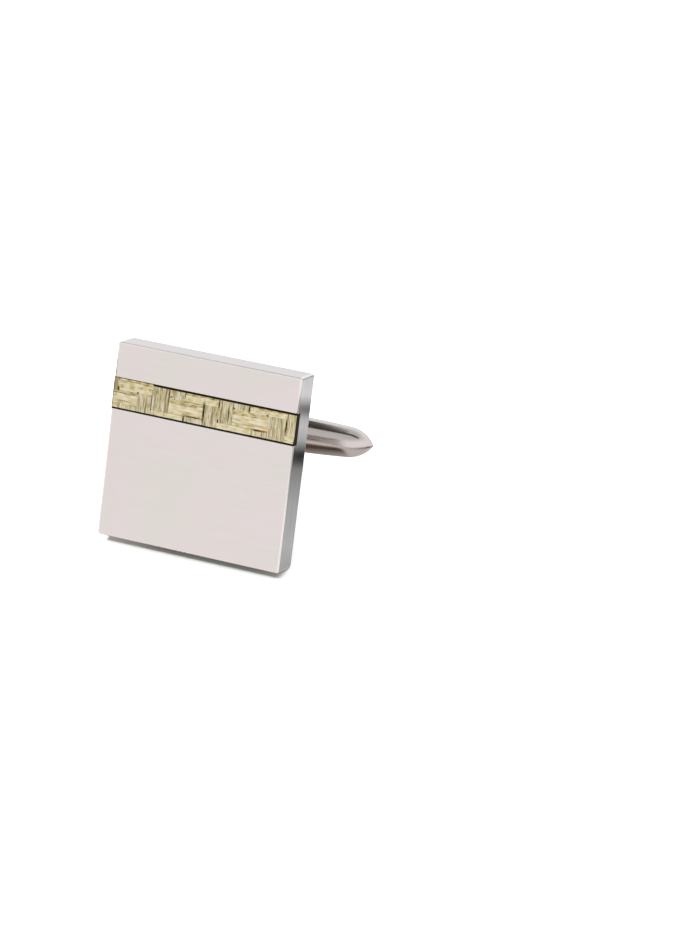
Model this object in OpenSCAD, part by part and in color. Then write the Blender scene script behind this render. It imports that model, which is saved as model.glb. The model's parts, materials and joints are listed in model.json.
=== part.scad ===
// Square cufflink: a thick brushed plate with a band of woven straw let into its face,
// and a bullet-shaped toggle that swings between the two arms of the post behind it.
// Millimetres. +X is the wearer's view to the right, the face looks along -Y, +Z is up.
// It rests as a loose cufflink does: on the plate's lower back edge and the lower arm's end.

/* [Plate] */
// Width and height of the square face
face_size = 16; // [12:0.5:20]
// Thickness of the plate
plate_t = 2.7; // [2:0.1:3.5]
// Width of the fine bevel along every edge of the plate
edge_bevel = 0.12; // [0.05:0.01:0.25]

/* [Inlay] */
// Distance from the plate's top edge down to the channel
channel_top = 2.9; // [2:0.1:5]
// Height of the channel across the face
channel_h = 2.6; // [2:0.1:3.5]
// Depth of the channel
channel_depth = 0.55; // [0.45:0.05:0.8]
// Width of the dark rim above and below the straw
bed_rim = 0.12; // [0.08:0.01:0.2]
// Width of the dark rim at each end of the straw
bed_end_rim = 0.05; // [0.04:0.01:0.1]
// Thickness of the dark bed under the straw
bed_floor = 0.28; // [0.12:0.02:0.3]
// How far the straw stands out of the face
straw_proud = 0.03; // [0:0.01:0.06]
// Depth of the grooves between the straw strands
strand_relief = 0.07; // [0.03:0.01:0.1]
// Width of the grooves between the straw strands
strand_groove = 0.06; // [0.04:0.01:0.1]
// Spacing of the crosswise strands
row_pitch = 1.2; // [1:0.05:1.6]
// Part of the top crosswise strand that the upper rim leaves
first_row = 0.66; // [0.4:0.01:1]

/* [Post] */
// Distance from the plate's face to the toggle's pivot
pivot_reach = 16; // [13:0.5:20]
// Distance of the post below the middle of the plate
post_drop = 0.25; // [0:0.05:1]
// Width of the arms and of the foot
arm_w = 2.6; // [2:0.1:3.5]
// Thickness of each arm
arm_t = 0.75; // [0.6:0.05:1.2]
// Thickness of the foot that joins the arms on the plate's back
foot_t = 0.9; // [0.6:0.1:1.5]
// Diameter of the pivot pin
pin_d = 1; // [0.8:0.1:1.2]

/* [Toggle] */
// Length of the toggle from tip to tip
toggle_len = 17.1; // [14:0.1:19]
// Diameter of the toggle at its middle
toggle_d = 3.1; // [2.6:0.1:3.6]
// Diameter of the toggle where its pointed noses begin
shoulder_d = 2.6; // [2.2:0.1:3]
// Length of each nose
nose_len = 2.05; // [1.6:0.05:3]
// Angle at which each nose turns in from the axis where it begins
nose_turn = 6; // [4:1:12]
// How far the toggle is swung from square across the post
toggle_swing = 10; // [0:1:20]

/* [Hidden] */
$fn = 96;
// Gap left between pieces that touch on the real cufflink
seam = 0.015;
// Gap between the toggle and each arm
arm_clearance = 0.1;
// Radial gap round the pin, in the arms and in the toggle
pin_fit = 0.015;
pin_running_fit = 0.05;
// How far the pin's ends stand out of the arms
pin_proud = 0.05;
// Overlap of shapes that are joined or cut
lap = 1;
// Where one upright strand of the hand-woven straw ends and the next begins, as shares of its length
column_shares = [0.025, 0.133, 0.213, 0.307, 0.395, 0.501, 0.582, 0.66, 0.757, 0.85, 0.951];

half_face = face_size / 2;
arm_in = toggle_d / 2 + arm_clearance;
arm_out = arm_in + arm_t;
arm_end = arm_w / 2;

// The lean at which the plate's lower back edge and the lower arm's end are level.
rest_fall = half_face - post_drop - arm_out;
rest_run = pivot_reach + arm_end - plate_t + edge_bevel;
lean = atan2(rest_fall, rest_run);

straw_h = channel_h - 2 * (bed_rim + 2 * seam);
straw_len = face_size - 2 * (bed_end_rim + seam);
straw_top_z = half_face - channel_top - bed_rim - 2 * seam;
straw_back_y = channel_depth - bed_floor - 2 * seam;
columns = 1 + len(column_shares);
rows = 1 + ceil((straw_h - first_row) / row_pitch);

shoulder_x = toggle_len / 2 - nose_len;
// Radius of the arc that swells the toggle's barrel, and of the one that closes each nose.
barrel_rise = (toggle_d - shoulder_d) / 2;
barrel_arc = (shoulder_x * shoulder_x + barrel_rise * barrel_rise) / (2 * barrel_rise);
nose_chord2 = nose_len * nose_len + shoulder_d * shoulder_d / 4;
nose_arc = nose_chord2 / (shoulder_d * cos(nose_turn) - 2 * nose_len * sin(nose_turn));
// Straight steps that follow these arcs, in half of the barrel and in each nose.
barrel_steps = 6;
nose_steps = 10;

// Radius of the toggle at a distance from its middle: a slow swell, then the arc of the nose.
function barrel_r(x) = toggle_d / 2 - barrel_arc + sqrt(barrel_arc * barrel_arc - x * x);
function nose_r(x) = shoulder_d / 2 - nose_arc * cos(nose_turn)
    + sqrt(nose_arc * nose_arc - pow(x - shoulder_x + nose_arc * sin(nose_turn), 2));

// Places along the toggle; those of the nose close up towards its tip, where it turns fastest.
barrel_x = [for (i = [-barrel_steps : barrel_steps]) shoulder_x * i / barrel_steps];
nose_x = [for (i = [1 : nose_steps - 1]) shoulder_x + nose_len * sin(90 * i / nose_steps)];
// Half of the toggle's outline, as radius and distance from its middle.
toggle_outline = concat(
    [[0, -toggle_len / 2]],
    [for (i = [nose_steps - 2 : -1 : 0]) [nose_r(nose_x[i]), -nose_x[i]]],
    [for (x = barrel_x) [barrel_r(x), x]],
    [for (x = nose_x) [nose_r(x), x]],
    [[0, toggle_len / 2]]
);

// The lowest, foremost and hindmost points, measured with the lean about the middle of the face.
low_z = -half_face * cos(lean) - (plate_t - edge_bevel) * sin(lean);
front_y = -(half_face - edge_bevel) * sin(lean);
arm_back_y = (pivot_reach + arm_end) * cos(lean) + (arm_out - post_drop) * sin(lean);
// The swung toggle reaches further back than the arms do.
swing_along = sin(toggle_swing) * cos(lean);
swing_across = sqrt(1 - swing_along * swing_along);
toggle_reach = max([for (point = toggle_outline) point.x * swing_across + point.y * swing_along]);
toggle_back_y = pivot_reach * cos(lean) - post_drop * sin(lean) + toggle_reach;
mid_y = (front_y + max(arm_back_y, toggle_back_y)) / 2;

STEEL = [0.86, 0.84, 0.83];
POLISHED = [0.72, 0.70, 0.69];
BLACK = [0.05, 0.04, 0.03];
STRAW = [0.80, 0.76, 0.58];

// Stands what is modelled about the middle of the face, with the face upright, in its rest pose.
module at_rest() {
    translate([0, -mid_y, -low_z]) rotate([-lean, 0, 0]) children();
}

// Moves to the pivot, with the pin's axis along Z.
module at_pivot() {
    translate([0, pivot_reach, -post_drop]) children();
}

// A rectangle with its corners cut at 45 degrees, from its middle.
module cut_corner_rect(w, h, cut) {
    x = w / 2;
    y = h / 2;
    polygon([
        [x - cut, -y], [x, -y + cut], [x, y - cut], [x - cut, y],
        [cut - x, y], [-x, y - cut], [-x, cut - y], [cut - x, -y]
    ]);
}

// A box from its middle, with a bevel along all its edges.
module bevelled_box(w, d, h, cut) {
    intersection() {
        linear_extrude(height = h + lap, center = true) cut_corner_rect(w, d, cut);
        rotate([90, 0, 0]) linear_extrude(height = d + lap, center = true) cut_corner_rect(w, h, cut);
        rotate([90, 0, 90]) linear_extrude(height = w + lap, center = true) cut_corner_rect(d, h, cut);
    }
}

module channel() {
    translate([-half_face - lap, -lap, half_face - channel_top - channel_h])
        cube([face_size + 2 * lap, channel_depth + lap, channel_h]);
}

module plate() {
    difference() {
        translate([0, plate_t / 2, 0]) bevelled_box(face_size, plate_t, face_size, edge_bevel);
        channel();
    }
}

// One flat arm from the plate's back to its round end, lying in the plane Z = 0.
module arm_outline() {
    arm_len = pivot_reach - plate_t;
    translate([-arm_w / 2, -arm_len]) square([arm_w, arm_len]);
    circle(r = arm_end);
}

// The two arms and the foot that joins them, about the pivot, with the pin's holes drilled through.
module post() {
    difference() {
        union() {
            for (side = [-1, 1])
                translate([0, 0, side * (arm_in + arm_t / 2)])
                    linear_extrude(height = arm_t, center = true) arm_outline();
            translate([-arm_w / 2, plate_t - pivot_reach, -arm_out])
                cube([arm_w, foot_t, 2 * arm_out]);
        }
        cylinder(h = 2 * arm_out + lap, r = pin_d / 2 + pin_fit, center = true);
    }
}

module plate_and_post() {
    color(STEEL) at_rest() {
        plate();
        at_pivot() post();
    }
}

// A shallow black tray that fills the channel and shows as a thin line round the straw.
module inlay_bed() {
    outer_d = channel_depth - seam;
    outer_h = channel_h - 2 * seam;
    tray_d = outer_d - bed_floor;
    tray_w = face_size - 2 * bed_end_rim;
    tray_h = outer_h - 2 * bed_rim;
    bottom_z = half_face - channel_top - channel_h + seam;
    color(BLACK) at_rest() difference() {
        translate([-half_face, 0, bottom_z]) cube([face_size, outer_d, outer_h]);
        translate([-tray_w / 2, -lap, bottom_z + bed_rim]) cube([tray_w, tray_d + lap, tray_h]);
    }
}

// The twill: each strand passes over two and under two, one step along in each row.
function upright_on_top(column, row) = (column + row) % 4 == 3 || (column + row) % 4 == 0;

// Edges of the columns and rows, from the straw's left end and from its top.
function column_edge(column) = straw_len * concat([0], column_shares, [1])[column];
function row_edge(row) = row == 0 ? 0 : min(first_row + (row - 1) * row_pitch, straw_h);

// One crossing of the weave, open towards a neighbour where the strand on top runs on.
module crossing(column, row) {
    upright = upright_on_top(column, row);
    groove = strand_groove / 2;
    left = !upright && !upright_on_top(column + 3, row) ? 0 : groove;
    right = !upright && !upright_on_top(column + 1, row) ? 0 : groove;
    above = upright && upright_on_top(column, row + 3) ? 0 : groove;
    below = upright && upright_on_top(column, row + 1) ? 0 : groove;
    x = column_edge(column) + left;
    z = row_edge(row + 1) - below;
    w = column_edge(column + 1) - right - x;
    h = z - row_edge(row) - above;
    translate([x, 0, -z]) cube([w, strand_relief + seam, h]);
}

module straw_inlay() {
    color(STRAW) at_rest() translate([-straw_len / 2, -straw_proud, straw_top_z]) {
        translate([0, strand_relief, -straw_h])
            cube([straw_len, straw_back_y + straw_proud - strand_relief, straw_h]);
        for (column = [0 : columns - 1], row = [0 : rows - 1])
            crossing(column, row);
    }
}

module pivot_pin() {
    color(POLISHED) at_rest() at_pivot()
        cylinder(h = 2 * (arm_out + pin_proud), r = pin_d / 2, center = true);
}

module toggle() {
    color(POLISHED) at_rest() at_pivot() rotate([0, 0, toggle_swing]) difference() {
        rotate([0, 90, 0]) rotate_extrude() polygon(toggle_outline);
        cylinder(h = toggle_d + lap, r = pin_d / 2 + pin_running_fit, center = true);
    }
}

plate_and_post();
inlay_bed();
straw_inlay();
pivot_pin();
toggle();
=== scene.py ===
"""The cufflink as it is photographed: a brushed plate, a woven straw band and a polished toggle.

Shapes are in millimetres along the plate's own axes: across it, back from its face and up it.
They turn into the frame's metres when a piece is placed.
"""
import json
import math

import bmesh
import bpy
import numpy as np
from mathutils import Matrix, Vector


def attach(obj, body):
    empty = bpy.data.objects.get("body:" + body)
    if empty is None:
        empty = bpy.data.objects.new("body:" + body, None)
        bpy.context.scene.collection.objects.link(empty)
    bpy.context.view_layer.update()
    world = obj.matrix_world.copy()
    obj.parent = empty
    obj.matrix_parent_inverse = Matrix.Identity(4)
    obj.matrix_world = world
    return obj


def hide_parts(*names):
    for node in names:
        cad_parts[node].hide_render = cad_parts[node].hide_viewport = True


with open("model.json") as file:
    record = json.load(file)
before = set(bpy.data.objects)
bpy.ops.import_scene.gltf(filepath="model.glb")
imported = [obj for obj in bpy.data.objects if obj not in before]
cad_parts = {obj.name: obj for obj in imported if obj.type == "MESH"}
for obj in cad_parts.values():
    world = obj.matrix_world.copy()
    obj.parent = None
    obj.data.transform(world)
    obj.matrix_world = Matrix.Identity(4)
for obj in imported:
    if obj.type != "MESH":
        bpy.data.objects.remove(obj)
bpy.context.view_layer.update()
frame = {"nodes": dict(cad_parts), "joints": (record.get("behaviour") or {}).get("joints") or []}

MM = 0.001

# Plate
FACE = 16.0
PLATE_T = 2.7
EDGE_ROUND = 0.15
CORNER_ROUND = 0.21
CHANNEL_TOP = 2.9
CHANNEL_H = 2.6
CHANNEL_DEPTH = 0.55
MOUTH_ROUND = 0.04
ROUND_STEPS = 4
SHARP_ANGLE = math.radians(40)
# Which of the plate's materials its face, sides, rounded edges and back have, and the part of a
# polygon's normal along an axis from which it counts as facing that way
ON_FACE, ON_SIDE, ON_EDGE, ON_BACK = range(4)
FACING = 0.5

# Straw, measured from the plate's left side and down from the straw's own top
BED_RIM = 0.12
BED_END_RIM = 0.05
SEAM = 0.015
STRAW_TOP = FACE / 2 - CHANNEL_TOP - BED_RIM - 2 * SEAM
STRAW_H = CHANNEL_H - 2 * (BED_RIM + 2 * SEAM)
STRAW_LEFT = BED_END_RIM + SEAM
STRAW_RIGHT = FACE - STRAW_LEFT
# Left and right edges of the upright strands, charted; the first and last are cut off
UPRIGHTS = (
    (-0.70, 0.44), (0.47, 2.16), (2.19, 3.43), (3.46, 4.91), (4.95, 6.30), (6.36, 7.98),
    (8.04, 9.28), (9.32, 10.52), (10.55, 11.88), (12.27, 13.52), (13.56, 15.13), (15.17, 16.50),
)
# Edges between the crosswise strands, at the plate's left and right sides
ROW_EDGES = ((0.0, 0.0), (0.87, 0.43), (1.96, 1.75), (STRAW_H, STRAW_H))
ROWS = len(ROW_EDGES) - 1
# How far the strands spread over the bed's upper rim near the left side, and where that ends
TOP_SPREAD = 0.13
SPREAD_END = 3.3
SPREAD_FADE = 0.6
# The twill: after how many strands it repeats, and where in the repeat an upright strand is on top
TWILL_REPEAT = 4
TWILL_ON_TOP = (0, 3)
# How far past the band's ends a strand's stretches on top may run, and the shortest that counts
BEYOND = 1.0
SHORTEST_RUN = 0.3

# A strand: how far behind the plate's face its front lies on top and underneath, its thickness, the
# gap beside it, and the step between the rings of its mesh
TOP_LEVEL = -0.03
UNDER_LEVEL = 0.04
STRAND_T = 0.065
STRAND_GAP = 0.006
STRAND_STEP = 0.04
# Where it dives under another: the bend's length, how much that varies, and how late it starts
DIVE_LEN = 0.12
DIVE_SPREAD = (0.75, 1.35)
DIVE_LAG = 0.06
# Its edges: lengths of a slow wave's parts, the wave's size and length, the pinch at a bend, and how
# deep and wide they round off
WAVE_PARTS = (1.0, 0.41)
EDGE_WAVE = 0.012
EDGE_WAVE_LEN = 2.6
PINCH = 0.008
CROWN = 0.014
CROWN_W = 0.12
CROSSWISE_SEED = 11
UPRIGHT_SEED = 7

# Fibres of a strand: their widths, and how they wander, stand up and differ in tone. Some, called dull
# here, are narrower, lower and darker, and each fibre is darker at its edges: painted shade for the gaps and
# grooves between fibres.
CROSSWISE_FIBRE_W = 0.17
UPRIGHT_FIBRE_W = 0.11
FEWEST_FIBRES = 3
FIBRE_SHARES = (0.5, 1.5)
FIBRE_RELIEF = 0.009
FIBRE_WANDER = 0.3
WANDER_LEN = (2.0, 5.0)
SHADED_FIBRE_SHARE = 0.25
SHADED_FIBRE_WIDTH = 0.6
SHADED_FIBRE_TONE, CLEAR_TONE = (0.38, 0.58), (0.6, 0.88)
SHADED_FIBRE_RISE, CLEAR_RISE = (0.4, 0.7), (0.7, 1.0)
GROOVE_SHADE = 0.92
FADE = 0.2
FADE_LEN = (0.8, 2.2)
# Places across a fibre, and how high its ridge stands there
RIDGE = ((0.0, 0.0), (0.22, 0.8), (0.5, 1.0), (0.78, 0.8))
# How far apart the strands lie in the noise that streaks them
STRAND_OFFSET = (17.0, 0.0, 3.0)

# Marks on the straw, charted: middle along and down, half-length and half-height. An orange
# stain, painted shade in the gaps where strands meet, olive streaks, and painted highlights where a strand
# bends.
MARK_STEEPNESS = 4
STAINS = (
    (12.93, 1.80, 0.62, 0.085),
)
PAINTED_GAP_SHADE = (
    (0.46, 0.74, 0.08, 0.20), (2.19, 0.79, 0.08, 0.09), (3.44, 1.30, 0.035, 0.80),
    (4.93, 0.70, 0.045, 0.80), (5.12, 0.56, 0.11, 0.06), (6.33, 0.20, 0.04, 0.30),
    (6.33, 2.15, 0.075, 0.25), (7.12, 1.84, 0.72, 0.06), (8.02, 1.20, 0.10, 0.80),
    (9.30, 0.35, 0.065, 0.35), (9.30, 1.72, 0.07, 0.14), (10.17, 1.05, 0.055, 0.70),
    (10.58, 0.43, 0.09, 0.075), (11.90, 0.25, 0.08, 0.27), (13.48, 0.47, 0.10, 0.07),
    (12.28, 2.15, 0.03, 0.25), (12.72, 1.83, 0.34, 0.05), (13.15, 2.15, 0.025, 0.25),
    (15.15, 1.05, 0.06, 0.60), (15.98, 2.25, 0.10, 0.20),
)
OLIVE_STREAKS = (
    (0.22, 0.45, 0.16, 0.55), (0.85, 0.12, 0.35, 0.07), (1.30, 1.68, 0.90, 0.04),
    (2.42, 2.00, 0.04, 0.45), (2.78, 1.55, 0.05, 0.55), (3.00, 1.70, 0.035, 0.60),
    (3.75, 1.10, 0.05, 1.00), (4.64, 1.10, 0.06, 1.00), (4.85, 1.10, 0.03, 0.90),
    (5.30, 0.25, 0.03, 0.30), (6.20, 1.03, 0.90, 0.04), (8.80, 1.60, 0.10, 0.60),
    (9.55, 1.10, 0.08, 0.70), (10.90, 1.28, 0.45, 0.05), (11.15, 0.25, 0.04, 0.25),
    (12.90, 1.47, 0.55, 0.04), (13.78, 1.90, 0.05, 0.50), (14.12, 1.40, 0.035, 0.90),
    (14.42, 1.40, 0.035, 0.90), (14.80, 1.50, 0.06, 0.85),
)
PAINTED_GLINTS = (
    (1.25, 0.78, 0.20, 0.10), (0.85, 0.78, 0.10, 0.08), (3.57, 1.40, 0.07, 0.62),
    (10.74, 0.20, 0.13, 0.24), (12.70, 0.42, 0.45, 0.06), (6.50, 2.15, 0.05, 0.22),
    (7.50, 2.15, 0.20, 0.20),
)

# Post and pin
PIVOT_REACH = 16.0
POST_DROP = 0.25
ARM_W = 2.6
ARM_IN = 1.65
ARM_OUT = 2.4
FOOT_T = 0.9
FOOT_FILLET = 0.45
FILLET_STEPS = 8
BORE_R = 0.515
POST_ROUND = 0.07
SOLDER_W = 0.16
SOLDER_T = 0.14
# The solder's section: shares of its thickness, and of its width there
SOLDER_SECTION = ((0.0, 1.0), (0.3, 0.45), (1.0, 0.0625))
CORNER_STEPS = 6
PIN_R = 0.5
PIN_END = 2.45
PIN_DOME = 0.05
DOME_TURNS = (0, 30, 55, 75)
ARC_STEPS = 48

# Toggle
TOGGLE_LEN = 17.1
TOGGLE_D = 3.1
SHOULDER_D = 2.6
NOSE_LEN = 2.05
NOSE_TURN = math.radians(6)
TOGGLE_SWING = math.radians(10)
TOGGLE_BORE_R = 0.55
LATHE_STEPS = 128
BARREL_STEPS = 24
NOSE_STEPS = 28

# Camera: where it looks from and at, in the row frame
VIEW_TURN = math.radians(22.9)
VIEW_RISE = math.radians(31.55)
VIEW_ROLL = math.radians(0.5)
VIEW_DISTANCE = 254.9
VIEW_AIM = (11.4, -3.2, 7.4)
NEAREST = 10
LENS = 122.3
SENSOR = 36.0


def linear(*levels):
    """A colour in the shaders' linear scale from three levels of 0 to 255, by the sRGB formula."""
    shares = [level / 255 for level in levels]
    return tuple(((s + 0.055) / 1.055) ** 2.4 if s > 0.04 else s / 12.92 for s in shares) + (1.0,)


# The plate's axes and the middle of its face, from the toggle's joint
hinge = frame["joints"][0]
UP = Vector(hinge["axis"]).normalized()
ACROSS = Vector((1, 0, 0))
BACK = UP.cross(ACROSS)
FACE_MIDDLE = Vector(hinge["pos_m"]) - BACK * PIVOT_REACH * MM + UP * POST_DROP * MM
AT_REST = Matrix.Translation(FACE_MIDDLE) @ Matrix((ACROSS, BACK, UP)).transposed().to_4x4()
AT_PIVOT = AT_REST @ Matrix.Translation(Vector((0, PIVOT_REACH, -POST_DROP)) * MM)
AT_TOGGLE = AT_PIVOT @ Matrix.Rotation(TOGGLE_SWING, 4, "Z")


# Shader nodes

# The Mix node's sockets for its factor and its two colours
MIX_FACTOR, MIX_FIRST, MIX_SECOND = 0, 6, 7


class Nodes:
    """A tree of shader nodes, built a node at a time."""

    def __init__(self, tree):
        self.tree = tree

    def add(self, kind, inputs=None, **settings):
        node = self.tree.nodes.new("ShaderNode" + kind)
        for name, value in settings.items():
            setattr(node, name, value)
        for name, value in (inputs or {}).items():
            self.feed(node.inputs[name], value)
        return node

    def feed(self, socket, value):
        if isinstance(value, bpy.types.NodeSocket):
            self.tree.links.new(value, socket)
        else:
            socket.default_value = value

    def noise(self, size, detail=3.0, place=None, rough=0.5):
        """Noise with blotches of that size along each axis, in millimetres on the piece."""
        if place is None:
            place = self.add("Attribute", attribute_name="spot").outputs["Vector"]
        scale = [1 / (MM * length) for length in size]
        spread = self.add("Mapping", {"Vector": place, "Scale": scale}).outputs["Vector"]
        settings = {"Vector": spread, "Scale": 1.0, "Detail": detail, "Roughness": rough}
        return self.add("TexNoise", settings).outputs["Fac"]

    def spread(self, value, low, high, start=0.3, end=0.7):
        """A value taken from the range start to end into the range low to high."""
        settings = {"Value": value, "From Min": start, "From Max": end, "To Min": low, "To Max": high}
        return self.add("MapRange", settings).outputs["Result"]

    def math(self, operation, first, second):
        return self.add("Math", {0: first, 1: second}, operation=operation).outputs[0]

    def ramp(self, value, *stops):
        """Colours along a value, from pairs of place and colour."""
        node = self.add("ValToRGB", {"Fac": value})
        band = node.color_ramp
        while len(band.elements) < len(stops):
            band.elements.new(0.5)
        for element, (at, colour) in zip(band.elements, stops):
            element.position = at
            element.color = colour
        return node.outputs["Color"]

    def blend(self, share, first, second):
        """One colour turning into another as share goes from 0 to 1."""
        node = self.add("Mix", data_type="RGBA")
        self.feed(node.inputs[MIX_FACTOR], share)
        self.feed(node.inputs[MIX_FIRST], first)
        self.feed(node.inputs[MIX_SECOND], second)
        return node.outputs[2]


def start_material(name, **surface):
    """A new material's nodes and its shader, with the values that are the same all over."""
    material = bpy.data.materials.new(name)
    material.use_nodes = True
    nodes = Nodes(material.node_tree)
    shader = material.node_tree.nodes["Principled BSDF"]
    for socket, value in surface.items():
        shader.inputs[socket.replace("_", " ")].default_value = value
    return material, nodes, shader


# Materials

# Brushed steel: the share of its fine lines and how much longer and wider the broad ones are, the
# depth of the lines, and the size of its clouds
FINE_LINES = 0.65
BROAD_LINES = 3.5
LINE_DEPTH = 0.006
LINE_BUMP = 0.12
CLOUD_SIZE = (5.0, 5.0, 3.5)
# Polished steel: its haze with the two tones of the metal, and its scuffs
HAZE_SIZE = (1.8, 1.2, 1.2)
HAZE_TONES = (linear(216, 210, 207), linear(222, 217, 214))
SCUFF_SIZE = (1.6, 0.05, 0.05)
SCUFF_DEPTH = 0.004
SCUFF_BUMP = 0.12
SCUFF_DULLING = 0.04
# The bed's grain
GRAIN_SIZE = (0.25, 0.25, 0.25)
GRAIN_TONES = ((0.3, linear(24, 19, 2)), (0.8, linear(48, 40, 14)))
GRAIN_GLOSS = (0.5, 0.75)
GRAIN_DEPTH = 0.01
GRAIN_BUMP = 0.2
# The straw's streaks and blotches, where its five tones lie, and the strength and colour of its marks
FIBRE_GLOSS = (0.38, 0.6)
FIBRE_DEPTH = 0.01
FIBRE_BUMP = 0.35
BLOTCH_SIZE = (0.6, 0.3, 1.0)
BLOTCH = 0.1
TONE_PLACES = (0.0, 0.3, 0.55, 0.78, 1.0)
# The marks: olive streaks, painted highlights where strands bend (pale), an orange stain, and painted shade
# in the gaps between strands (gap)
STRAW_MARKS = (
    ("olive", 0.7, linear(148, 126, 68)), ("pale", 0.85, linear(246, 234, 222)),
    ("stain", 0.9, linear(160, 92, 0)), ("gap", 1.0, linear(52, 37, 0)),
)


def brushed_steel(name, line, metal, veil, gloss, contrast, tangent):
    """Steel with fine lines, and faint clouds of a second tone.

    line is the length and width of the lines along the piece's axes, gloss the range of their
    roughness, and contrast how much darker the darkest of them is.
    """
    material, nodes, shader = start_material(name, Metallic=1.0, Anisotropic=0.5, Anisotropic_Rotation=0.25)
    fine = nodes.noise(line, detail=4.0, rough=0.65)
    broad = nodes.noise([BROAD_LINES * size for size in line], detail=2.0)
    fine, broad = nodes.math("MULTIPLY", fine, FINE_LINES), nodes.math("MULTIPLY", broad, 1 - FINE_LINES)
    lines = nodes.math("ADD", fine, broad)
    level = nodes.spread(lines, 0.0, 1.0, start=0.35, end=0.65)
    cloud = nodes.spread(nodes.noise(CLOUD_SIZE, detail=2.0), 0.0, 1.0, start=0.4, end=0.6)
    clean = nodes.blend(cloud, metal, veil)
    dark = nodes.spread(level, contrast, 0.0, 0.0, 1.0)
    nodes.feed(shader.inputs["Base Color"], nodes.blend(dark, clean, linear(0, 0, 0)))
    nodes.feed(shader.inputs["Roughness"], nodes.spread(level, *gloss, 0.0, 1.0))
    bump = nodes.add("Bump", {"Height": lines, "Strength": LINE_BUMP, "Distance": LINE_DEPTH * MM})
    nodes.feed(shader.inputs["Normal"], bump.outputs["Normal"])
    if tangent:
        way = nodes.add("Tangent", direction_type="UV_MAP", uv_map="brushing")
        nodes.feed(shader.inputs["Tangent"], way.outputs["Tangent"])
    return material


def polished_steel(name, gloss):
    """Bright steel with a faint haze and a few fine scuffs; gloss is the range of its roughness."""
    material, nodes, shader = start_material(name, Metallic=1.0)
    haze = nodes.noise(HAZE_SIZE)
    scuff = nodes.noise(SCUFF_SIZE, detail=4.0, rough=0.7)
    nodes.feed(shader.inputs["Base Color"], nodes.blend(nodes.spread(haze, 0.0, 1.0), *HAZE_TONES))
    dulling = nodes.spread(scuff, 0.0, SCUFF_DULLING, start=0.5, end=0.75)
    nodes.feed(shader.inputs["Roughness"], nodes.math("ADD", nodes.spread(haze, *gloss), dulling))
    bump = nodes.add("Bump", {"Height": scuff, "Strength": SCUFF_BUMP, "Distance": SCUFF_DEPTH * MM})
    nodes.feed(shader.inputs["Normal"], bump.outputs["Normal"])
    return material


def black_resin():
    """The dark bed: a dull black with a little grain."""
    material, nodes, shader = start_material("black_resin", Specular_IOR_Level=0.12)
    grain = nodes.noise(GRAIN_SIZE, detail=4.0, place=nodes.add("TexCoord").outputs["Object"])
    nodes.feed(shader.inputs["Base Color"], nodes.ramp(grain, *GRAIN_TONES))
    nodes.feed(shader.inputs["Roughness"], nodes.spread(grain, *GRAIN_GLOSS))
    bump = nodes.add("Bump", {"Height": grain, "Strength": GRAIN_BUMP, "Distance": GRAIN_DEPTH * MM})
    nodes.feed(shader.inputs["Normal"], bump.outputs["Normal"])
    return material


def straw(name, streaks, contrast, colours):
    """Plant fibres: the tone of each comes with the mesh, finer streaks from noise along the strand.

    streaks is the length and width of the fine streaks, and contrast how far they change the tone.
    """
    material, nodes, shader = start_material(name, Specular_IOR_Level=0.1)

    def kept(kind):
        return nodes.add("Attribute", attribute_name=kind).outputs["Fac"]

    place = nodes.add("Attribute", attribute_name="strand_place").outputs["Vector"]
    streak = nodes.noise((*streaks, 1.0), place=place, rough=0.6)
    blotch = nodes.noise(BLOTCH_SIZE, detail=2.0, place=place)
    fine = nodes.spread(streak, -contrast, contrast)
    uneven = nodes.math("ADD", fine, nodes.spread(blotch, -BLOTCH, BLOTCH))
    shade = nodes.math("ADD", kept("tone"), uneven)
    fibre = nodes.ramp(shade, *zip(TONE_PLACES, colours))
    for kind, strength, colour in STRAW_MARKS:
        fibre = nodes.blend(nodes.math("MULTIPLY", kept(kind), strength), fibre, colour)
    nodes.feed(shader.inputs["Base Color"], fibre)
    nodes.feed(shader.inputs["Roughness"], nodes.spread(streak, *FIBRE_GLOSS))
    bump = nodes.add("Bump", {"Height": streak, "Strength": FIBRE_BUMP, "Distance": FIBRE_DEPTH * MM})
    nodes.feed(shader.inputs["Normal"], bump.outputs["Normal"])
    return material


FACE_STEEL = brushed_steel(
    "face_steel", (3.0, 0.05, 0.05), linear(235, 230, 229), linear(232, 231, 226), (0.3, 0.34), 0.05, True)
SIDE_STEEL = brushed_steel(
    "side_steel", (0.06, 0.06, 2.2), linear(232, 229, 229), linear(226, 226, 226), (0.12, 0.07), 0.2, True)
# The rounded edges' steel is lighter and a little glossier than the face's: partly the edges' polish, partly
# a painted highlight along them
EDGE_STEEL = brushed_steel(
    "edge_steel", (0.6, 0.3, 0.3), linear(250, 247, 245), linear(246, 245, 242), (0.26, 0.32), 0.03, False)
POLISHED = polished_steel("polished_steel", (0.13, 0.16))
SATIN = polished_steel("satin_steel", (0.19, 0.22))
BLACK = black_resin()
CROSSWISE_STRAW = straw("crosswise_straw", (4.5, 0.10), 0.3, (
    linear(104, 88, 42), linear(182, 166, 108), linear(226, 215, 162),
    linear(243, 235, 194), linear(252, 247, 224)))
# The upright strands' tones are darker and greyer than the crosswise ones': painted shade, for the light
# falling differently on upright fibres
UPRIGHT_STRAW = straw("upright_straw", (3.5, 0.06), 0.5, (
    linear(92, 78, 36), linear(166, 153, 102), linear(206, 198, 152),
    linear(226, 220, 182), linear(243, 238, 212)))


# Meshes

def new_piece(mesh, name, *materials):
    """A smooth-shaded object of a mesh."""
    for material in materials:
        mesh.materials.append(material)
    mesh.polygons.foreach_set("use_smooth", [True] * len(mesh.polygons))
    piece = bpy.data.objects.new(name, mesh)
    bpy.context.scene.collection.objects.link(piece)
    return piece


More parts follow.
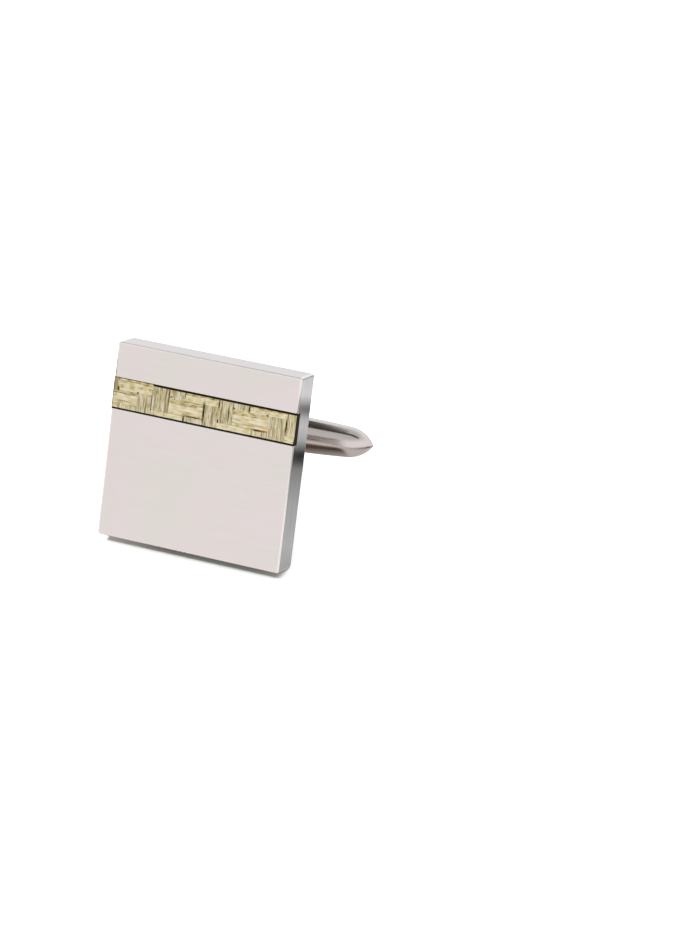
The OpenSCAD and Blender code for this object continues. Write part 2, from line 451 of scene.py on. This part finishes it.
def from_shape(shape, name, *materials):
    """An object of a shape in millimetres."""
    bmesh.ops.recalc_face_normals(shape, faces=shape.faces)
    bmesh.ops.scale(shape, vec=(MM, MM, MM), verts=shape.verts)
    mesh = bpy.data.meshes.new(name)
    shape.to_mesh(mesh)
    shape.free()
    return new_piece(mesh, name, *materials)


def stand(piece, at):
    """Moves a finished mesh to its place, and keeps where each point was as its spot, for the materials."""
    mesh = piece.data
    spots = np.zeros(3 * len(mesh.vertices), np.float32)
    mesh.vertices.foreach_get("co", spots)
    mesh.attributes.new("spot", "FLOAT_VECTOR", "POINT").data.foreach_set("vector", spots)
    mesh.transform(at)
    return piece


def prism(outline, run):
    """A solid from a flat outline and the way that it runs."""
    shape = bmesh.new()
    near = [shape.verts.new(point) for point in outline]
    far = [shape.verts.new(Vector(point) + Vector(run)) for point in outline]
    shape.faces.new(near)
    shape.faces.new(far)
    for k in range(len(outline)):
        shape.faces.new((near[k - 1], near[k], far[k], far[k - 1]))
    return shape


def lathe(outline, upright=False):
    """A turned solid from pairs of radius and distance along its axis: across, or upright."""
    shape = bmesh.new()
    rings = []
    for radius, along in outline:
        count = LATHE_STEPS if radius > 0 else 1
        ring = []
        for step in range(count):
            turn = 2 * math.pi * step / LATHE_STEPS
            side, rise = radius * math.cos(turn), radius * math.sin(turn)
            ring.append(shape.verts.new((side, rise, along) if upright else (along, side, rise)))
        rings.append(ring)
    for first, second in zip(rings, rings[1:]):
        for step in range(LATHE_STEPS):
            corners = [first[step % len(first)], first[(step + 1) % len(first)],
                       second[(step + 1) % len(second)], second[step % len(second)]]
            shape.faces.new(dict.fromkeys(corners))
    return shape


def cutter(radius, name):
    """An upright cylinder, longer than anything that it bores through."""
    ends = [(0, -FACE / 2), (radius, -FACE / 2), (radius, FACE / 2), (0, FACE / 2)]
    return from_shape(lathe(ends, upright=True), name)


def settle(piece):
    """Turns a piece's modifiers into its mesh."""
    graph = bpy.context.evaluated_depsgraph_get()
    mesh = bpy.data.meshes.new_from_object(piece.evaluated_get(graph))
    piece.modifiers.clear()
    piece.data = mesh


def carve(piece, tool, operation="DIFFERENCE"):
    """Cuts a piece with a tool, which is used up, or joins or meets the two."""
    step = piece.modifiers.new("carve", "BOOLEAN")
    step.object = tool
    step.operation = operation
    step.solver = "EXACT"
    settle(piece)
    bpy.data.objects.remove(tool)


def round_edges(piece, width, **settings):
    """Rounds a piece's edges and keeps its flat faces flat in shading."""
    step = piece.modifiers.new("round", "BEVEL")
    step.width = width * MM
    step.segments = ROUND_STEPS
    step.harden_normals = True
    step.use_clamp_overlap = False
    for name, value in settings.items():
        setattr(step, name, value)
    settle(piece)


def lay_brushing(mesh):
    """A UV map whose first axis runs along the brushing: up the plate's sides, across elsewhere."""
    layer = mesh.uv_layers.new(name="brushing")
    for polygon in mesh.polygons:
        on_side = abs(polygon.normal.x) > FACING
        for loop in polygon.loop_indices:
            x, back, up = mesh.vertices[mesh.loops[loop].vertex_index].co / MM
            layer.data[loop].uv = (up, back) if on_side else (x, up + back)


def face_plate():
    """The square plate with its channel, finely rounded edges and a satin back."""
    half = FACE / 2
    upper, lower = half - CHANNEL_TOP, half - CHANNEL_TOP - CHANNEL_H
    section = [(0, -half), (PLATE_T, -half), (PLATE_T, half), (0, half),
               (0, upper), (CHANNEL_DEPTH, upper), (CHANNEL_DEPTH, lower), (0, lower)]
    shape = prism([(-half, back, up) for back, up in section], (FACE, 0, 0))
    piece = from_shape(shape, "face_plate", FACE_STEEL, SIDE_STEEL, EDGE_STEEL, SATIN)
    mesh = piece.data
    for polygon in mesh.polygons:
        if abs(polygon.normal.x) > FACING:
            polygon.material_index = ON_SIDE
        elif polygon.normal.y > FACING:
            polygon.material_index = ON_BACK
        else:
            polygon.material_index = ON_FACE
    lay_brushing(mesh)
    weight = mesh.attributes.new("bevel_weight_edge", "FLOAT", "EDGE")
    for edge in mesh.edges:
        first, second = (mesh.vertices[k].co / MM for k in edge.vertices)
        middle = (first + second) / 2
        at_channel = max(abs(first.z - (upper + lower) / 2), abs(second.z - (upper + lower) / 2)) < CHANNEL_H
        if at_channel and middle.y > 0:
            radius = 0.0
            edge.use_edge_sharp = True
        elif at_channel:
            radius = MOUTH_ROUND
        elif abs(first.y - second.y) > 0:
            radius = CORNER_ROUND
        else:
            radius = EDGE_ROUND
        weight.data[edge.index].value = radius / CORNER_ROUND
    round_edges(piece, CORNER_ROUND, limit_method="WEIGHT", material=ON_EDGE)
    return stand(piece, AT_REST)


def arc(middle, radius, start, end, steps):
    """Points along an arc, in two dimensions, from one angle to another in degrees."""
    angles = [math.radians(start + (end - start) * k / steps) for k in range(steps + 1)]
    return [(middle[0] + radius * math.cos(a), middle[1] + radius * math.sin(a)) for a in angles]


def post():
    """The two arms and the foot that joins them, with round ends and a bore."""
    half = ARM_W / 2
    root = PLATE_T - PIVOT_REACH
    inner = root + FOOT_T
    fillet = FOOT_FILLET
    fork = [(root, -ARM_OUT), (half, -ARM_OUT), (half, -ARM_IN)]
    fork += arc((inner + fillet, -ARM_IN + fillet), fillet, 270, 180, FILLET_STEPS)
    fork += arc((inner + fillet, ARM_IN - fillet), fillet, 180, 90, FILLET_STEPS)
    fork += [(half, ARM_IN), (half, ARM_OUT), (root, ARM_OUT)]
    piece = from_shape(prism([(-half, back, up) for back, up in fork], (ARM_W, 0, 0)), "post", POLISHED)
    outline = arc((0, 0), half, 0, 180, ARC_STEPS) + [(-half, root), (half, root)]
    flat = prism([(x, back, -FACE / 2) for x, back in outline], (0, 0, FACE))
    carve(piece, from_shape(flat, "arm_outline"), "INTERSECT")
    carve(piece, cutter(BORE_R, "bore"))
    round_edges(piece, POST_ROUND, limit_method="ANGLE", angle_limit=SHARP_ANGLE)
    return stand(piece, AT_PIVOT)


def solder_seam():
    """The narrow fillet of solder round the foot, where it meets the plate's back."""
    shape = bmesh.new()
    rings = []
    for height, width in SOLDER_SECTION:
        back, spread = height * SOLDER_T, width * SOLDER_W
        x, up = ARM_W / 2 + spread, ARM_OUT + spread
        corner = POST_ROUND + spread
        ring = []
        for sx, sz, start in ((1, 1, 0), (-1, 1, 90), (-1, -1, 180), (1, -1, 270)):
            middle = (sx * (x - corner), sz * (up - corner))
            turn = arc(middle, corner, start, start + 90, CORNER_STEPS)
            ring += [(px, PLATE_T + back, pz - POST_DROP) for px, pz in turn]
        rings.append([shape.verts.new(point) for point in ring])
    for first, second in zip(rings, rings[1:]):
        for k in range(len(first)):
            shape.faces.new((first[k - 1], first[k], second[k], second[k - 1]))
    shape.faces.new(rings[0])
    shape.faces.new(rings[-1])
    return stand(from_shape(shape, "solder_seam", EDGE_STEEL), AT_REST)


def hinge_pin():
    """The pin, with slightly domed ends."""
    turns = [math.radians(turn) for turn in DOME_TURNS]
    dome = [(PIN_R * math.cos(t), PIN_END - PIN_DOME + PIN_DOME * math.sin(t)) for t in turns]
    upper = dome + [(0, PIN_END)]
    lower = [(radius, -along) for radius, along in reversed(upper)]
    return stand(from_shape(lathe(lower + upper, upright=True), "hinge_pin", POLISHED), AT_PIVOT)


def barrel_radius(along):
    """Radius of the barrel at a distance from the toggle's middle."""
    swell = (TOGGLE_D - SHOULDER_D) / 2
    shoulder = TOGGLE_LEN / 2 - NOSE_LEN
    arc_r = (shoulder * shoulder + swell * swell) / (2 * swell)
    return TOGGLE_D / 2 - arc_r + math.sqrt(arc_r * arc_r - along * along)


def nose_radius(past):
    """Radius of the nose at a distance past the shoulder."""
    chord2 = NOSE_LEN ** 2 + SHOULDER_D ** 2 / 4
    arc_r = chord2 / (SHOULDER_D * math.cos(NOSE_TURN) - 2 * NOSE_LEN * math.sin(NOSE_TURN))
    middle = past + arc_r * math.sin(NOSE_TURN)
    return SHOULDER_D / 2 - arc_r * math.cos(NOSE_TURN) + math.sqrt(arc_r * arc_r - middle * middle)


def toggle_bar():
    """The bullet-shaped bar: a slow swell along the barrel and a pointed nose at each end."""
    shoulder = TOGGLE_LEN / 2 - NOSE_LEN
    half = []
    for k in range(BARREL_STEPS + 1):
        along = shoulder * k / BARREL_STEPS
        half.append((barrel_radius(along), along))
    for k in range(1, NOSE_STEPS):
        past = NOSE_LEN * math.sin(math.pi / 2 * k / NOSE_STEPS)
        half.append((nose_radius(past), shoulder + past))
    half.append((0, TOGGLE_LEN / 2))
    outline = [(radius, -along) for radius, along in reversed(half[1:])] + half
    piece = from_shape(lathe(outline), "toggle_bar", POLISHED)
    carve(piece, cutter(TOGGLE_BORE_R, "toggle_bore"))
    piece.data.set_sharp_from_angle(angle=SHARP_ANGLE)
    return stand(piece, AT_TOGGLE)


# Weave

def upright_on_top(column, row):
    """The twill's chart: over two and under two, one step along in each row."""
    return (column + row) % TWILL_REPEAT in TWILL_ON_TOP


def row_edge(row, across):
    """How far down the weave an edge between crosswise strands lies: it runs slightly askew."""
    left, right = ROW_EDGES[row]
    return left + (right - left) * across / FACE


def rise(distance, length):
    """0 up to 0, 1 from length on, and a smooth step between."""
    share = np.clip(distance / length, 0, 1)
    return share * share * (3 - 2 * share)


def slow_wave(rng, along, length, size):
    """A gentle random wave along a strand."""
    total = 0.0
    for part in WAVE_PARTS:
        total = total + part * np.sin(2 * np.pi * (along / (length * part) + rng.random()))
    return size * total / sum(WAVE_PARTS)


def upright_runs(column):
    """Where an upright strand lies on top, as pairs of start and end down the weave."""
    middle = sum(UPRIGHTS[column]) / 2
    runs = []
    for row in range(ROWS):
        if upright_on_top(column, row):
            start = row_edge(row, middle) if row else -BEYOND
            end = row_edge(row + 1, middle) if row + 1 < ROWS else STRAW_H + BEYOND
            if runs and upright_on_top(column, row - 1):
                start = runs.pop()[0]
            runs.append((start, end))
    return runs


def crosswise_runs(row):
    """Where a crosswise strand lies on top, between the upright strands that cover it."""
    covers = [UPRIGHTS[column] for column in range(len(UPRIGHTS)) if upright_on_top(column, row)]
    edges = [-BEYOND] + [edge for cover in covers for edge in cover] + [FACE + BEYOND]
    runs = zip(edges[0::2], edges[1::2])
    return [(start, end) for start, end in runs if end - start > SHORTEST_RUN]


def on_top_along(rng, along, runs):
    """1 where a strand lies on top, 0 where it passes under, with smooth bends between."""
    on_top = np.zeros_like(along)
    for start, end in runs:
        reach = DIVE_LEN * rng.uniform(*DIVE_SPREAD, 2)
        entry = rise(along - start + DIVE_LAG, reach[0])
        leave = rise(end + DIVE_LAG - along, reach[1])
        on_top = np.maximum(on_top, entry * leave)
    return on_top


def fibres(rng, along, count):
    """A strand's fibres: place across (0 to 1), depth and tone, with a row for each of their points."""
    # Fibres picked as dull are made narrower, lower and darker: painted shade for the gaps between fibres
    dull = rng.random(count) < SHADED_FIBRE_SHARE
    shares = rng.uniform(*FIBRE_SHARES, count) * np.where(dull, SHADED_FIBRE_WIDTH, 1.0)
    shares = np.concatenate([[0.0], np.cumsum(shares) / shares.sum()])
    lines = np.repeat(shares[:, None], len(along), axis=1)
    for k in range(1, count):
        lines[k] += slow_wave(rng, along, rng.uniform(*WANDER_LEN), FIBRE_WANDER / count)
    tones = np.where(dull, rng.uniform(*SHADED_FIBRE_TONE, count), rng.uniform(*CLEAR_TONE, count))
    heights = np.where(dull, rng.uniform(*SHADED_FIBRE_RISE, count), rng.uniform(*CLEAR_RISE, count))
    fades = [slow_wave(rng, along, rng.uniform(*FADE_LEN), FADE) for _ in range(count)]
    across, depth, tone = [], [], []
    for k in range(count):
        for at, ridge in RIDGE:
            across.append(lines[k] + at * (lines[k + 1] - lines[k]))
            depth.append(np.full_like(along, FIBRE_RELIEF * (1 - ridge * heights[k])))
            # A fibre's edges take a darker tone: painted shade in the grooves between fibres
            neighbour = tones[k - 1] if k and at == 0 else tones[k]
            tone.append(min(tones[k], neighbour) * (GROOVE_SHADE if at == 0 else 1.0) + fades[k])
    across.append(lines[-1])
    depth.append(np.full_like(along, FIBRE_RELIEF))
    tone.append(tones[-1] * GROOVE_SHADE + fades[-1])
    return np.array(across), np.array(depth), np.array(tone)


def strand(rng, along, low, high, runs, cut, fibre_w):
    """One closed flat strand: rings of (along, across, back) and of tones for each place along it.

    low and high are its edges at each place along it, runs the stretches where it lies on top,
    and cut says which of the two edges the channel's wall cuts off.
    """
    on_top = on_top_along(rng, along, runs)
    bend = 4 * on_top * (1 - on_top)
    edges = []
    for edge, side, is_cut in ((low, 1, cut[0]), (high, -1, cut[1])):
        inset = STRAND_GAP + PINCH * bend + np.abs(slow_wave(rng, along, EDGE_WAVE_LEN, EDGE_WAVE))
        edges.append(edge + (0 if is_cut else side) * inset)
    width = edges[1] - edges[0]
    across, depth, tone = fibres(rng, along, max(FEWEST_FIBRES, round(width.mean() / fibre_w)))
    across = edges[0] + across * width
    for edge, is_cut in zip(edges, cut):
        near = np.clip(1 - np.abs(across - edge) / CROWN_W, 0, 1)
        depth = depth + (0 if is_cut else CROWN) * near ** 2
    level = UNDER_LEVEL + (TOP_LEVEL - UNDER_LEVEL) * on_top
    back = np.vstack([level + depth, np.tile(level + STRAND_T, (2, 1))])
    across = np.vstack([across, across[-1:], across[:1]])
    tone = np.vstack([tone, tone[-1:], tone[:1]])
    return np.stack([np.broadcast_to(along, across.shape), across, back], axis=-1), tone


def strand_faces(rings, places, first):
    """Faces of a strand whose points are numbered from first, ring by ring along it."""
    number = first + np.arange(rings * places).reshape(rings, places)
    after = np.roll(number, -1, axis=0)
    quads = np.stack([number[:, :-1], after[:, :-1], after[:, 1:], number[:, 1:]], axis=-1)
    return quads.reshape(-1, 4).tolist() + [number[:, 0].tolist(), number[::-1, -1].tolist()]


def marked(across, down, marks):
    """How strongly each point of the weave lies in one of the marks, from 0 to 1."""
    share = np.zeros_like(across)
    for middle, depth, half_w, half_h in marks:
        aside = ((across - middle) / half_w) ** MARK_STEEPNESS
        above = ((down - depth) / half_h) ** MARK_STEEPNESS
        share += np.exp(-aside - above)
    return np.clip(share, 0, 1)


def weave(name, strands, material):
    """A mesh of many strands; each comes with its points in the weave (across, down, back) and tones."""
    points, faces, tones, places, spots = [], [], [], [], []
    total = 0
    for number, (spot, tone, place) in enumerate(strands):
        faces += strand_faces(spot.shape[0], spot.shape[1], total)
        total += spot.shape[0] * spot.shape[1]
        across, down, back = np.moveaxis(spot.reshape(-1, 3), -1, 0)
        points.append(np.stack([across - FACE / 2, back, STRAW_TOP - down], axis=-1))
        tones.append(tone.ravel())
        places.append((place.reshape(-1, 3) + number * np.array(STRAND_OFFSET)) * MM)
        spots.append(np.stack([across, down]))
    mesh = bpy.data.meshes.new(name)
    mesh.from_pydata((np.concatenate(points) * MM).tolist(), [], faces)
    mesh.attributes.new("tone", "FLOAT", "POINT").data.foreach_set("value", np.concatenate(tones))
    # The pale marks are painted highlights and the gap marks painted shade; the stain and olive streaks are
    # the straw's own colour
    charts = (("stain", STAINS), ("gap", PAINTED_GAP_SHADE), ("olive", OLIVE_STREAKS), ("pale", PAINTED_GLINTS))
    for kind, marks in charts:
        share = marked(*np.concatenate(spots, axis=1), marks)
        mesh.attributes.new(kind, "FLOAT", "POINT").data.foreach_set("value", share)
    spread = mesh.attributes.new("strand_place", "FLOAT_VECTOR", "POINT")
    spread.data.foreach_set("vector", np.concatenate(places).ravel())
    shape = bmesh.new()
    shape.from_mesh(mesh)
    bmesh.ops.recalc_face_normals(shape, faces=shape.faces)
    shape.to_mesh(mesh)
    shape.free()
    return stand(new_piece(mesh, name, material), AT_REST)


def upright_strands():
    """The strands that run up and down the band."""
    rng = np.random.default_rng(UPRIGHT_SEED)
    strands = []
    for column, (left, right) in enumerate(UPRIGHTS):
        top = -TOP_SPREAD if right < SPREAD_END else 0.0
        down = np.linspace(top, STRAW_H, 1 + round(STRAW_H / STRAND_STEP))
        cut = (left < STRAW_LEFT, right > STRAW_RIGHT)
        low = np.full_like(down, max(left, STRAW_LEFT))
        high = np.full_like(down, min(right, STRAW_RIGHT))
        place, tone = strand(rng, down, low, high, upright_runs(column), cut, UPRIGHT_FIBRE_W)
        strands.append((place[..., [1, 0, 2]], tone, place))
    return weave("upright_strands", strands, UPRIGHT_STRAW)


def crosswise_strands():
    """The strands that run along the band."""
    rng = np.random.default_rng(CROSSWISE_SEED)
    steps = round((STRAW_RIGHT - STRAW_LEFT) / STRAND_STEP)
    across = np.linspace(STRAW_LEFT, STRAW_RIGHT, steps + 1)
    strands = []
    for row in range(ROWS):
        cut = (row == 0, row == ROWS - 1)
        low, high = row_edge(row, across), row_edge(row + 1, across)
        if row == 0:
            low = low - TOP_SPREAD * (1 - rise(across - SPREAD_END, SPREAD_FADE))
        place, tone = strand(rng, across, low, high, crosswise_runs(row), cut, CROSSWISE_FIBRE_W)
        strands.append((place, tone, place))
    return weave("crosswise_strands", strands, CROSSWISE_STRAW)


# Stage

FLOOR_HALF = 400
FLOOR_GRAIN = (30, 30, 30)
FLOOR_TONES = ((0.3, linear(205, 208, 206)), (0.7, linear(207, 210, 207)))
# The lights that only the floor takes and only the plate shades: a wide one overhead, and a
# narrower one from the front that ends the shadow under the plate
OVERHEAD_SIZE = 500
OVERHEAD_PLACE = (0, -40, 300)
OVERHEAD_POWER = 3.3
FRONT_TURN = math.radians(-35)
FRONT_RISE = math.radians(50)
FRONT_WIDTH = math.radians(6)
FRONT_POWER = 2.6
# The pale surround that the steel mirrors, near the floor and further off, how far back it turns
# cooler, and how deep under the floor its sheet lies
NEAR_TONE = linear(253, 247, 247)
FAR_TONE = linear(250, 250, 255)
CEILING_TONE = linear(206, 203, 201)
COOL_FLOOR = (50, 90)
COOL_SKY = (0.5, 0.9)
CEILING_FROM = (0.5, 0.85)
SHEET_DEPTH = 0.02
# What the plate's right side mirrors, a strip of the floor painted with dark bands, which are painted
# reflections
# and painted shade: where it starts, its way and length, how far from its middle, before its start and past
# its end it fades, and its tones
STRIP_START = (8.3, -7.95)
STRIP_WAY = (0.322, 0.947, 0.0)
STRIP_LENGTH = 29.6
STRIP_FADE = (1.3, 2.5)
STRIP_LEAD = (-2.0, -0.5)
STRIP_TAIL = (1.0, 6.0)
STRIP_TONES = (
    (0.00, 186), (0.12, 200), (0.20, 192), (0.32, 188), (0.42, 170), (0.52, 146), (0.555, 90), (0.585, 44),
    (0.61, 50), (0.645, 140), (0.68, 190), (0.75, 214), (0.80, 204), (0.84, 122), (0.865, 114), (0.90, 190),
    (0.94, 240), (1.00, 232),
)
# Patches of painted shade on the glowing surround, which the steel mirrors as painted reflections: middle,
# half-sizes, half the width of their soft edges, and tone. They are the toggle's soft shade, the floor to
# the right of it, the shade just before the plate's lower edge and the one under it, whose tone also sets
# how dark the plate's shadow on the floor is because the plate mirrors it there, the toggle's close shade,
# something dark far behind, and a grey part on the left.
PAINTED_SHADE_PATCHES = (
    ((0.5, 5.2), (7.0, 7.8), (1.5, 2.5), linear(178, 170, 164)),
    ((15.0, 4.0), (9.0, 6.5), (2.5, 3.0), linear(208, 202, 198)),
    ((0.0, -10.65), (8.3, 0.85), (0.6, 0.3), linear(190, 186, 182)),
    ((1.5, -8.65), (7.3, 1.45), (3.0, 0.25), linear(92, 90, 83)),
    ((-0.8, 4.0), (7.3, 2.8), (0.25, 2.0), linear(84, 72, 63)),
    ((30.0, 62.0), (40.0, 36.0), (8.0, 12.0), linear(96, 88, 80)),
    ((-32.0, 2.0), (16.0, 22.0), (5.0, 5.0), linear(150, 148, 148)),
)
# The dark end of the room above: its way along the toggle and its way back, where it starts towards
# the front, where it ends at the back (wide on the left, narrow on the right) and between which sides
ROOM_ALONG = (0.985, 0.163, -0.059)
ROOM_BACK = (-0.171, 0.902, -0.370)
ROOM_FRONT = -0.50
ROOM_WIDE = 0.50
ROOM_NARROW = -0.28
ROOM_TAPER = (-0.12, -0.03)
ROOM_SIDES = (-0.32, -0.24, 0.50, 0.62)
ROOM_SOFT = 0.05
ROOM_TONE = linear(50, 44, 38)


def flat_sheet(name, height, material):
    """A wide level sheet that is part of the stage."""
    half = FLOOR_HALF
    sheet = bmesh.new()
    corners = ((-half, -half), (half, -half), (half, half), (-half, half))
    sheet.faces.new([sheet.verts.new((x, y, height)) for x, y in corners])
    piece = from_shape(sheet, name, material)
    return piece


def floor():
    """A plain pale floor."""
    material, nodes, shader = start_material("floor", Roughness=0.9, Specular_IOR_Level=0.1)
    grain = nodes.noise(FLOOR_GRAIN, detail=2.0, place=nodes.add("TexCoord").outputs["Object"])
    nodes.feed(shader.inputs["Base Color"], nodes.ramp(grain, *FLOOR_TONES))
    piece = flat_sheet("floor", 0, material)
    piece.visible_glossy = False
    piece.visible_diffuse = False
    return piece


def with_painted_shade(nodes, parts, tone):
    """A tone of the surround with its patches of painted shade."""
    for middle, half_sizes, softness, colour in PAINTED_SHADE_PATCHES:
        share = 1.0
        for value, centre, half, soft in zip((parts["X"], parts["Y"]), middle, half_sizes, softness):
            apart = nodes.math("ABSOLUTE", nodes.math("SUBTRACT", value, centre * MM), 0.0)
            near = nodes.spread(apart, 1.0, 0.0, (half - soft) * MM, (half + soft) * MM)
            share = nodes.math("MULTIPLY", near, share)
        tone = nodes.blend(share, tone, colour)
    return tone


def side_strip(nodes, place):
    """How strongly the strip shows at each place of the surround, and its tones, which are painted
    reflections and painted shade.
    """
    start = [value * MM for value in STRIP_START] + [0.0]
    offset = nodes.add("VectorMath", {0: place, 1: start}, operation="SUBTRACT").outputs[0]
    along = nodes.add("VectorMath", {0: offset, 1: STRIP_WAY}, operation="DOT_PRODUCT").outputs["Value"]
    aside = (STRIP_WAY[1], -STRIP_WAY[0], 0.0)
    apart = nodes.add("VectorMath", {0: offset, 1: aside}, operation="DOT_PRODUCT").outputs["Value"]
    strip = nodes.ramp(nodes.spread(along, 0.0, 1.0, 0.0, STRIP_LENGTH * MM),
                       *[(at, linear(level, level, level)) for at, level in STRIP_TONES])
    fade = [distance * MM for distance in STRIP_FADE]
    inside = nodes.spread(nodes.math("ABSOLUTE", apart, 0.0), 1.0, 0.0, *fade)
    before = nodes.spread(along, 0.0, 1.0, *[distance * MM for distance in STRIP_LEAD])
    after = nodes.spread(along, 1.0, 0.0, *[(STRIP_LENGTH + distance) * MM for distance in STRIP_TAIL])
    for share in (before, after):
        inside = nodes.math("MULTIPLY", inside, share)
    return inside, strip


def surround():
    """What the steel and the straw see of the floor, a glowing sheet under it: pale, cooler far behind, with
    painted shade near the plate and the strip of painted reflections.
    """
    material = bpy.data.materials.new("surround")
    material.use_nodes = True
    nodes = Nodes(material.node_tree)
    place = nodes.add("TexCoord").outputs["Object"]
    parts = nodes.add("SeparateXYZ", {"Vector": place}).outputs
    far = nodes.spread(parts["Y"], 0.0, 1.0, *[distance * MM for distance in COOL_FLOOR])
    tone = with_painted_shade(nodes, parts, nodes.blend(far, NEAR_TONE, FAR_TONE))
    inside, strip = side_strip(nodes, place)
    # The sheet glows in its tones: the painted shade of the patches and the painted reflections of the strip
    glow = nodes.add("Emission", {"Color": nodes.blend(inside, tone, strip)})
    output = material.node_tree.nodes["Material Output"]
    nodes.feed(output.inputs["Surface"], glow.outputs["Emission"])
    piece = flat_sheet("surround", -SHEET_DEPTH, material)
    piece.visible_camera = False
    piece.visible_shadow = False
    return piece


def sky():
    """Soft light from all round, greyer above, with the dark end of the room that the toggle mirrors."""
    world = bpy.data.worlds.new("studio")
    bpy.context.scene.world = world
    world.use_nodes = True
    nodes = Nodes(world.node_tree)
    way = nodes.add("TexCoord").outputs["Generated"]
    parts = nodes.add("SeparateXYZ", {"Vector": way}).outputs
    level = nodes.blend(nodes.spread(parts["Y"], 0.0, 1.0, *COOL_SKY), NEAR_TONE, FAR_TONE)
    light = nodes.blend(nodes.spread(parts["Z"], 0.0, 1.0, *CEILING_FROM), level, CEILING_TONE)
    along = nodes.add("VectorMath", {0: way, 1: ROOM_ALONG}, operation="DOT_PRODUCT").outputs["Value"]
    back = nodes.add("VectorMath", {0: way, 1: ROOM_BACK}, operation="DOT_PRODUCT").outputs["Value"]
    end = nodes.spread(along, ROOM_WIDE, ROOM_NARROW, *ROOM_TAPER)
    shares = (
        nodes.spread(back, 0.0, 1.0, ROOM_FRONT - ROOM_SOFT, ROOM_FRONT + ROOM_SOFT),
        nodes.spread(nodes.math("SUBTRACT", back, end), 1.0, 0.0, -ROOM_SOFT, ROOM_SOFT),
        nodes.spread(along, 0.0, 1.0, *ROOM_SIDES[:2]),
        nodes.spread(along, 1.0, 0.0, *ROOM_SIDES[2:]),
    )
    dark = shares[0]
    for share in shares[1:]:
        dark = nodes.math("MULTIPLY", dark, share)
    background = world.node_tree.nodes["Background"]
    nodes.feed(background.inputs["Color"], nodes.blend(dark, light, ROOM_TONE))
    background.inputs["Strength"].default_value = 1.0


def floor_light(kind, target, blockers, **settings):
    """A light that only the floor takes, and that only the blockers shade."""
    lamp = bpy.data.lights.new("floor_light", kind)
    for name, value in settings.items():
        setattr(lamp, name, value)
    light = bpy.data.objects.new("floor_light", lamp)
    light.visible_glossy = False
    bpy.context.scene.collection.objects.link(light)
    takers = bpy.data.collections.new("lit")
    takers.objects.link(target)
    light.light_linking.receiver_collection = takers
    shades = bpy.data.collections.new("shading")
    for blocker in blockers:
        shades.objects.link(blocker)
    light.light_linking.blocker_collection = shades
    return light


def floor_lights(target, blockers):
    """The wide light overhead and the narrower one from the front."""
    overhead = floor_light("AREA", target, blockers, size=OVERHEAD_SIZE * MM, energy=OVERHEAD_POWER)
    overhead.location = Vector(OVERHEAD_PLACE) * MM
    front = floor_light("SUN", target, blockers, angle=FRONT_WIDTH, energy=FRONT_POWER)
    front.rotation_euler = (math.pi / 2 - FRONT_RISE, 0, FRONT_TURN)


def camera():
    """The photograph's view."""
    forward = Vector((
        -math.sin(VIEW_TURN) * math.cos(VIEW_RISE),
        math.cos(VIEW_TURN) * math.cos(VIEW_RISE),
        -math.sin(VIEW_RISE),
    ))
    level = Vector((math.cos(VIEW_TURN), math.sin(VIEW_TURN), 0))
    above = level.cross(forward)
    right = level * math.cos(VIEW_ROLL) - above * math.sin(VIEW_ROLL)
    top = right.cross(forward)
    data = bpy.data.cameras.new("camera")
    data.lens = LENS
    data.sensor_width = SENSOR
    data.clip_start = NEAREST * MM
    eye = bpy.data.objects.new("camera", data)
    place = (Vector(VIEW_AIM) - forward * VIEW_DISTANCE) * MM
    eye.matrix_world = Matrix.Translation(place) @ Matrix((right, top, -forward)).transposed().to_4x4()
    bpy.context.scene.collection.objects.link(eye)
    bpy.context.scene.camera = eye


# The whole

camera()
sky()
surround()
ground = floor()
bpy.context.scene.view_settings.view_transform = "Standard"

plate = face_plate()
floor_lights(ground, [plate])
for piece, body, slot, nodes_replaced in (
    (plate, "cufflink", "brushed_steel", ("plate_and_post",)),
    (post(), "cufflink", "polished_steel", ()),
    (solder_seam(), "cufflink", "brushed_steel", ()),
    (hinge_pin(), "cufflink", "polished_steel", ("pivot_pin",)),
    (upright_strands(), "cufflink", "straw", ("straw_inlay",)),
    (crosswise_strands(), "cufflink", "straw", ()),
    (toggle_bar(), "toggle", "polished_steel", ("toggle",)),
):
    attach(piece, body)
    if nodes_replaced:
        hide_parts(*nodes_replaced)

bed = frame["nodes"]["inlay_bed"]
bed.data.materials.clear()
bed.data.materials.append(BLACK)
